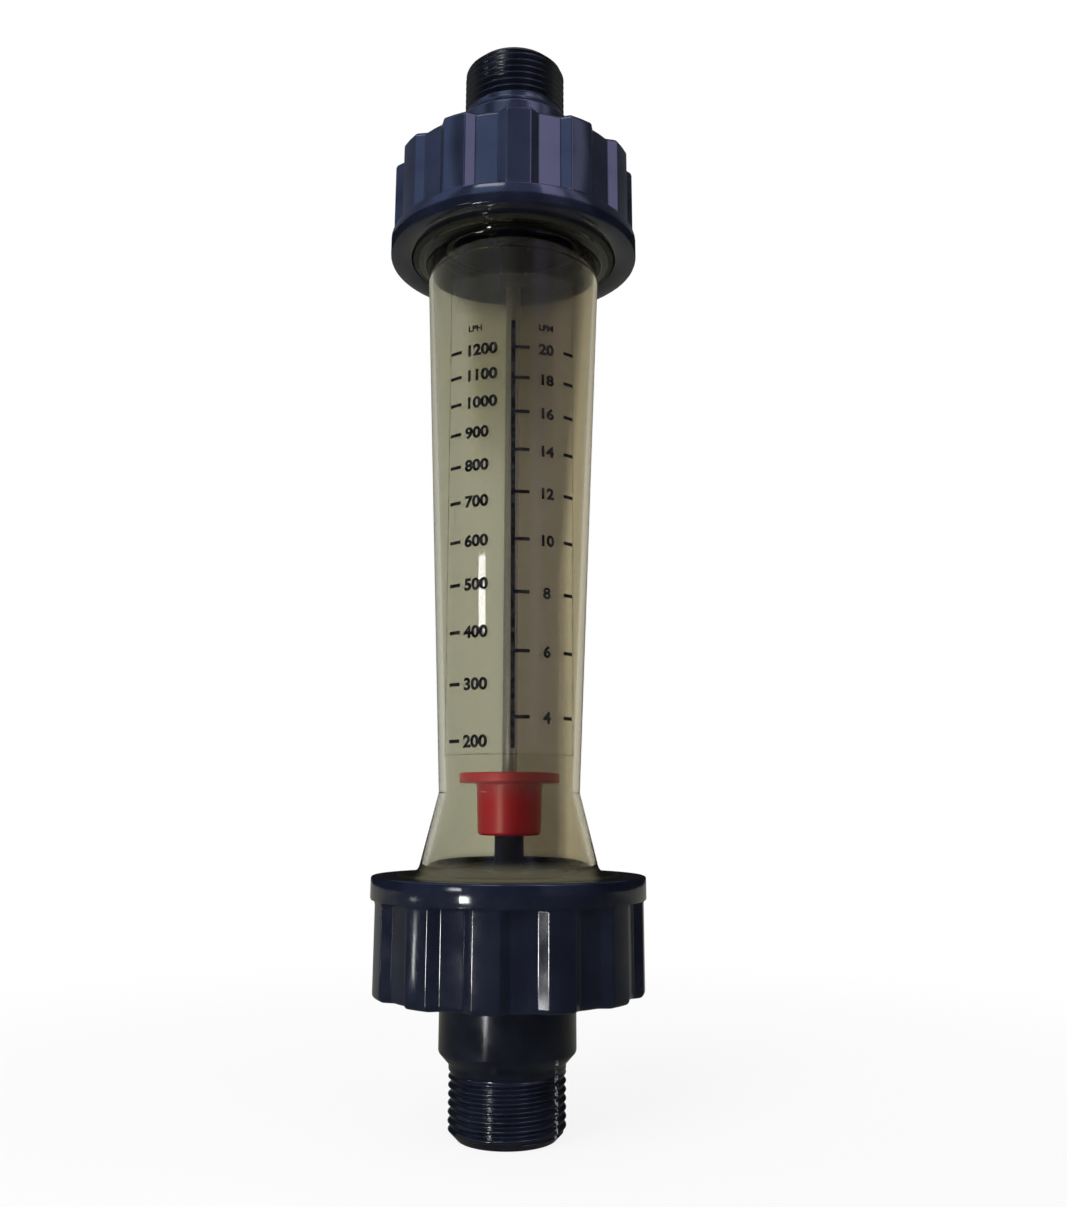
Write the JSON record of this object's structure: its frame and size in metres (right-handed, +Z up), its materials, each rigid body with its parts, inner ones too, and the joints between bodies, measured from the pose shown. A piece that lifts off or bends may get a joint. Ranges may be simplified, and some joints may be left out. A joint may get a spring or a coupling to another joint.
{
  "type": "rotameter",
  "caption": "Clear tapered-tube flow meter with a red float on a guide rod, a printed scale, and ribbed union nuts holding male-threaded pipe connectors.",
  "frame": {"origin": "centre of the inlet connector's end face, at the foot of the meter", "axes": "+Z up the flow axis from the inlet to the outlet, -Y towards the reader of the scale"},
  "size_m": [0.08, 0.08, 0.335],
  "materials": {
    "clear_tube": "clear moulded plastic, smoky khaki",
    "film": "clear printed film",
    "rod_steel": "ground stainless steel",
    "float_red": "moulded, semi-gloss",
    "guide_plastic": "moulded, satin",
    "stop_rubber": "moulded rubber",
    "connector_plastic": "moulded, semi-gloss",
    "seal_rubber": "black rubber",
    "nut_plastic": "moulded, glossy with light scuffs"
  },
  "bodies": {
    "meter_body": {"metering_tube": "clear_tube", "scale_film": "film", "guide_rod": "rod_steel", "inlet_guide": "guide_plastic", "outlet_guide": "guide_plastic", "inlet_float_stop": "stop_rubber", "outlet_float_stop": "stop_rubber"},
    "float_body": {"float": "float_red"},
    "inlet_end": {"inlet_connector": "connector_plastic", "inlet_o_ring": "seal_rubber"},
    "inlet_nut": {"inlet_union_nut": "nut_plastic"},
    "outlet_end": {"outlet_connector": "connector_plastic", "outlet_o_ring": "seal_rubber"},
    "outlet_nut": {"outlet_union_nut": "nut_plastic"}
  },
  "joints": [
    {"name": "float_slide", "type": "slide", "parent": "meter_body", "child": "float_body", "axis": [0, 0, 1], "range_m": [0, 0.1537]},
    {"name": "inlet_end_slide", "type": "slide", "parent": "meter_body", "child": "inlet_end", "axis": [0, 0, -1], "range_m": [0, 0.02079]},
    {"name": "inlet_nut_turn", "type": "hinge", "parent": "inlet_end", "child": "inlet_nut", "pos_m": [0, 0, 0.038], "axis": [0, 0, -1], "range_deg": [0, 3240]},
    {"name": "outlet_end_slide", "type": "slide", "parent": "meter_body", "child": "outlet_end", "axis": [0, 0, 1], "range_m": [0, 0.02079]},
    {"name": "outlet_nut_turn", "type": "hinge", "parent": "outlet_end", "child": "outlet_nut", "pos_m": [0, 0, 0.297], "axis": [0, 0, 1], "range_deg": [0, 3240]}
  ],
  "couplings": [
    {"joint": "inlet_end_slide", "follows": "inlet_nut_turn", "m_per_rad": 0.00036749},
    {"joint": "outlet_end_slide", "follows": "outlet_nut_turn", "m_per_rad": 0.00036749}
  ]
}
